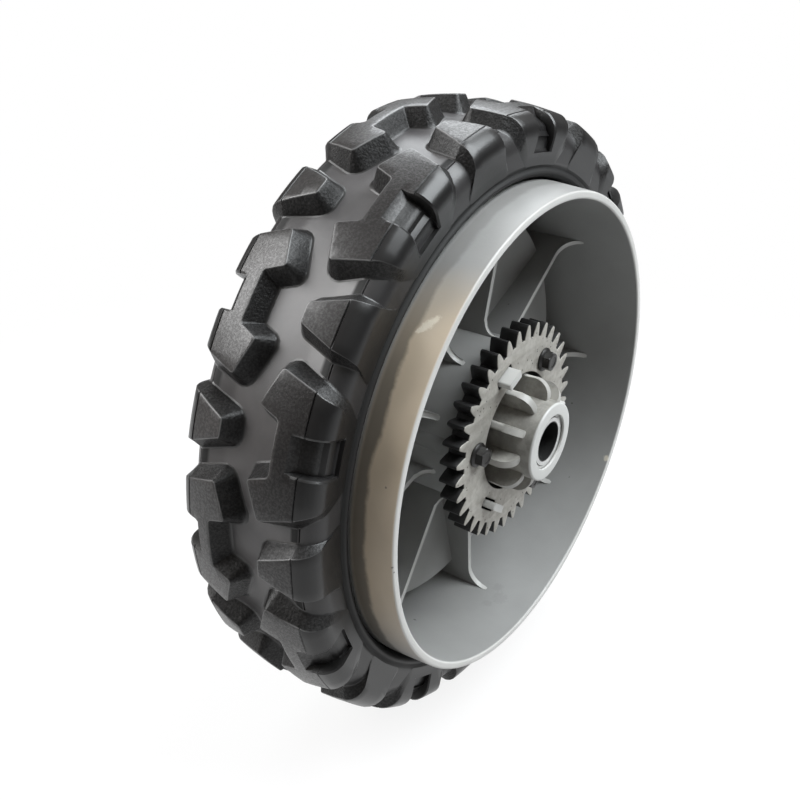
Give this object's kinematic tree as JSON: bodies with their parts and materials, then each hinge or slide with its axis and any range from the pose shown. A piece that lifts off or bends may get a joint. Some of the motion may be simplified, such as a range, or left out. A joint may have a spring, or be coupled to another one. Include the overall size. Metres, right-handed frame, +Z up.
{
  "type": "lawn mower wheel",
  "caption": "Drive wheel for a self-propelled mower: lugged rubber tyre on a deep drum-shaped plastic rim with a bolted spur gear, a finned hub and sealed ball bearings.",
  "frame": {"origin": "on the axle line at the middle of the tyre's width", "axes": "+Y along the axle, away from the gear side; +Z up as the wheel stands in the picture"},
  "size_m": [0.249, 0.0793, 0.2492],
  "materials": {
    "tyre_rubber": "grained matte tread, satin grooves",
    "rim_plastic": "satin moulded grey plastic",
    "gear_steel": "sintered steel, pale worn face and dark oxide teeth",
    "screw_steel": "black oxide",
    "spacer_steel": "plain turned",
    "bearing_steel": "ground",
    "cage_plastic": "moulded",
    "ball_steel": "polished",
    "seal_steel": "pressed shield"
  },
  "bodies": {
    "axle_stack": {"inboard_bearing_inner_ring": "bearing_steel", "outboard_bearing_inner_ring": "bearing_steel", "bearing_spacer": "spacer_steel"},
    "wheel": {"tyre": "tyre_rubber", "wheel_rim": "rim_plastic", "drive_gear": "gear_steel", "gear_screws": "screw_steel", "inboard_bearing_outer_ring": "bearing_steel", "outboard_bearing_outer_ring": "bearing_steel", "inboard_bearing_outer_seal": "seal_steel", "inboard_bearing_inner_seal": "seal_steel", "outboard_bearing_outer_seal": "seal_steel", "outboard_bearing_inner_seal": "seal_steel"},
    "inboard_ball_set": {"inboard_bearing_cage": "cage_plastic", "inboard_bearing_balls": "ball_steel"},
    "outboard_ball_set": {"outboard_bearing_cage": "cage_plastic", "outboard_bearing_balls": "ball_steel"}
  },
  "joints": [
    {"name": "wheel_spin", "type": "hinge", "parent": "axle_stack", "child": "wheel", "pos_m": [0, 0, 0], "axis": [0, 1, 0], "continuous": true},
    {"name": "inboard_ball_spin", "type": "hinge", "parent": "axle_stack", "child": "inboard_ball_set", "pos_m": [0, -0.0453, 0], "axis": [0, 1, 0], "continuous": true},
    {"name": "outboard_ball_spin", "type": "hinge", "parent": "axle_stack", "child": "outboard_ball_set", "pos_m": [0, 0.0185, 0], "axis": [0, 1, 0], "continuous": true}
  ],
  "couplings": [
    {"joint": "inboard_ball_spin", "follows": "wheel_spin", "ratio": 0.5818},
    {"joint": "outboard_ball_spin", "follows": "wheel_spin", "ratio": 0.5818}
  ]
}
